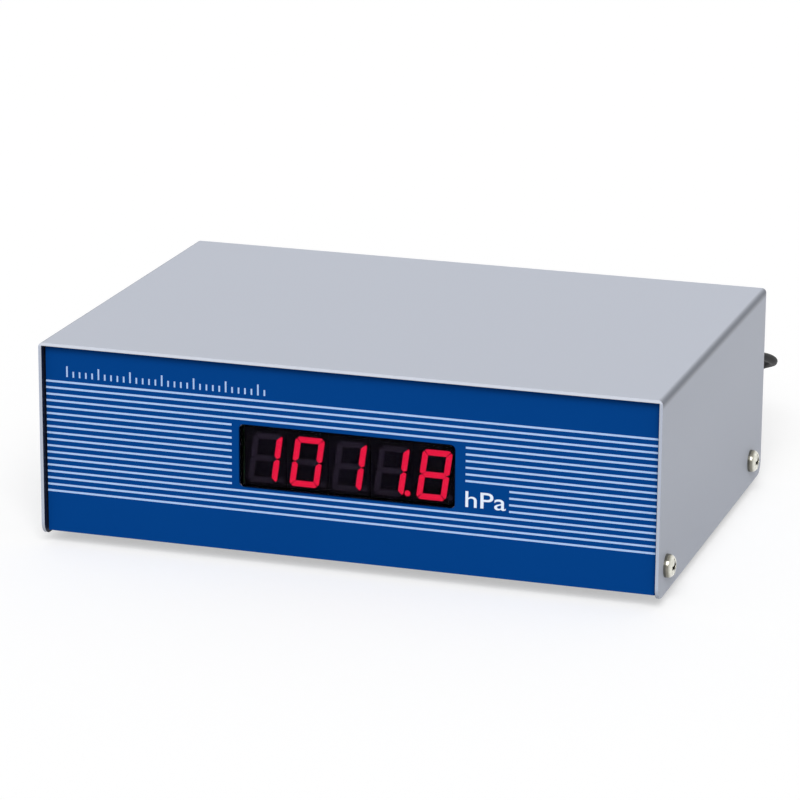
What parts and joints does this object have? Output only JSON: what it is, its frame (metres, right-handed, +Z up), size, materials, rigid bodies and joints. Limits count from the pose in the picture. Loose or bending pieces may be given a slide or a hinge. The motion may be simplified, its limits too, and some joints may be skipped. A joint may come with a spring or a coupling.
{
  "type": "digital barometer",
  "caption": "Desk barometer in a folded sheet case, with a striped front panel, a dark window with red seven-segment digits and a thin power lead to a wall adapter.",
  "frame": {"origin": "on the floor under the middle of the case", "axes": "+X to the right seen from the front, +Y to the back, +Z up; the display faces -Y"},
  "size_m": [0.1952, 0.1997, 0.063],
  "materials": {
    "cover_paint": "satin grey stoved paint",
    "chassis_paint": "satin grey stoved paint",
    "screw_nickel": "bright nickel plate",
    "zinc_steel": "zinc plate",
    "foot_rubber": "matt moulded",
    "panel_blue": "printed and anodised aluminium, satin",
    "print_white": "screen-printed ink",
    "window_smoke": "smoked acrylic, polished",
    "module_black": "fine moulded",
    "segment_red": "lit resin",
    "segment_dark": "unlit resin",
    "tinned_lead": "tinned",
    "board_green": "solder mask over glass fibre",
    "chip_black": "moulded epoxy",
    "sensor_white": "moulded",
    "trimmer_blue": "moulded",
    "sink_black": "black anodised",
    "can_sleeve": "shrunk sleeve",
    "socket_black": "moulded",
    "ribbon_grey": "extruded",
    "terminal_green": "moulded",
    "core_insulation": "extruded",
    "lead_black": "extruded, satin",
    "bushing_black": "moulded",
    "adapter_black": "fine spark-eroded texture",
    "blade_nickel": "nickel-plated"
  },
  "bodies": {
    "root": {"top_cover": "cover_paint", "chassis": "chassis_paint", "cover_screws": "screw_nickel", "clinch_nuts": "zinc_steel", "display_standoffs": "zinc_steel", "board_standoffs": "zinc_steel", "board_screws": "zinc_steel", "rubber_feet": "foot_rubber", "front_panel": "panel_blue", "stripe_print": "print_white", "scale_print": "print_white", "display_window": "window_smoke", "digit_1": "module_black", "digit_2": "module_black", "digit_3": "module_black", "digit_4": "module_black", "digit_5": "module_black", "lit_segments": "segment_red", "dark_segments": "segment_dark", "digit_pins": "tinned_lead", "crystal": "tinned_lead", "display_board": "board_green", "main_board": "board_green", "driver_chip": "chip_black", "controller_chip": "chip_black", "converter_chip": "chip_black", "voltage_regulator": "chip_black", "pressure_sensor": "sensor_white", "calibration_trimmers": "trimmer_blue", "heat_sink": "sink_black", "supply_capacitors": "can_sleeve", "ribbon_sockets": "socket_black", "ribbon_cable": "ribbon_grey", "lead_terminal": "terminal_green", "lead_cores": "core_insulation", "lead_inner": "lead_black", "lead_run": "lead_black", "lead_coil": "lead_black", "lead_tail": "lead_black", "lead_bushing": "bushing_black", "coil_tie": "bushing_black", "adapter_body": "adapter_black", "adapter_face": "adapter_black", "adapter_blades": "blade_nickel"}
  },
  "joints": []
}
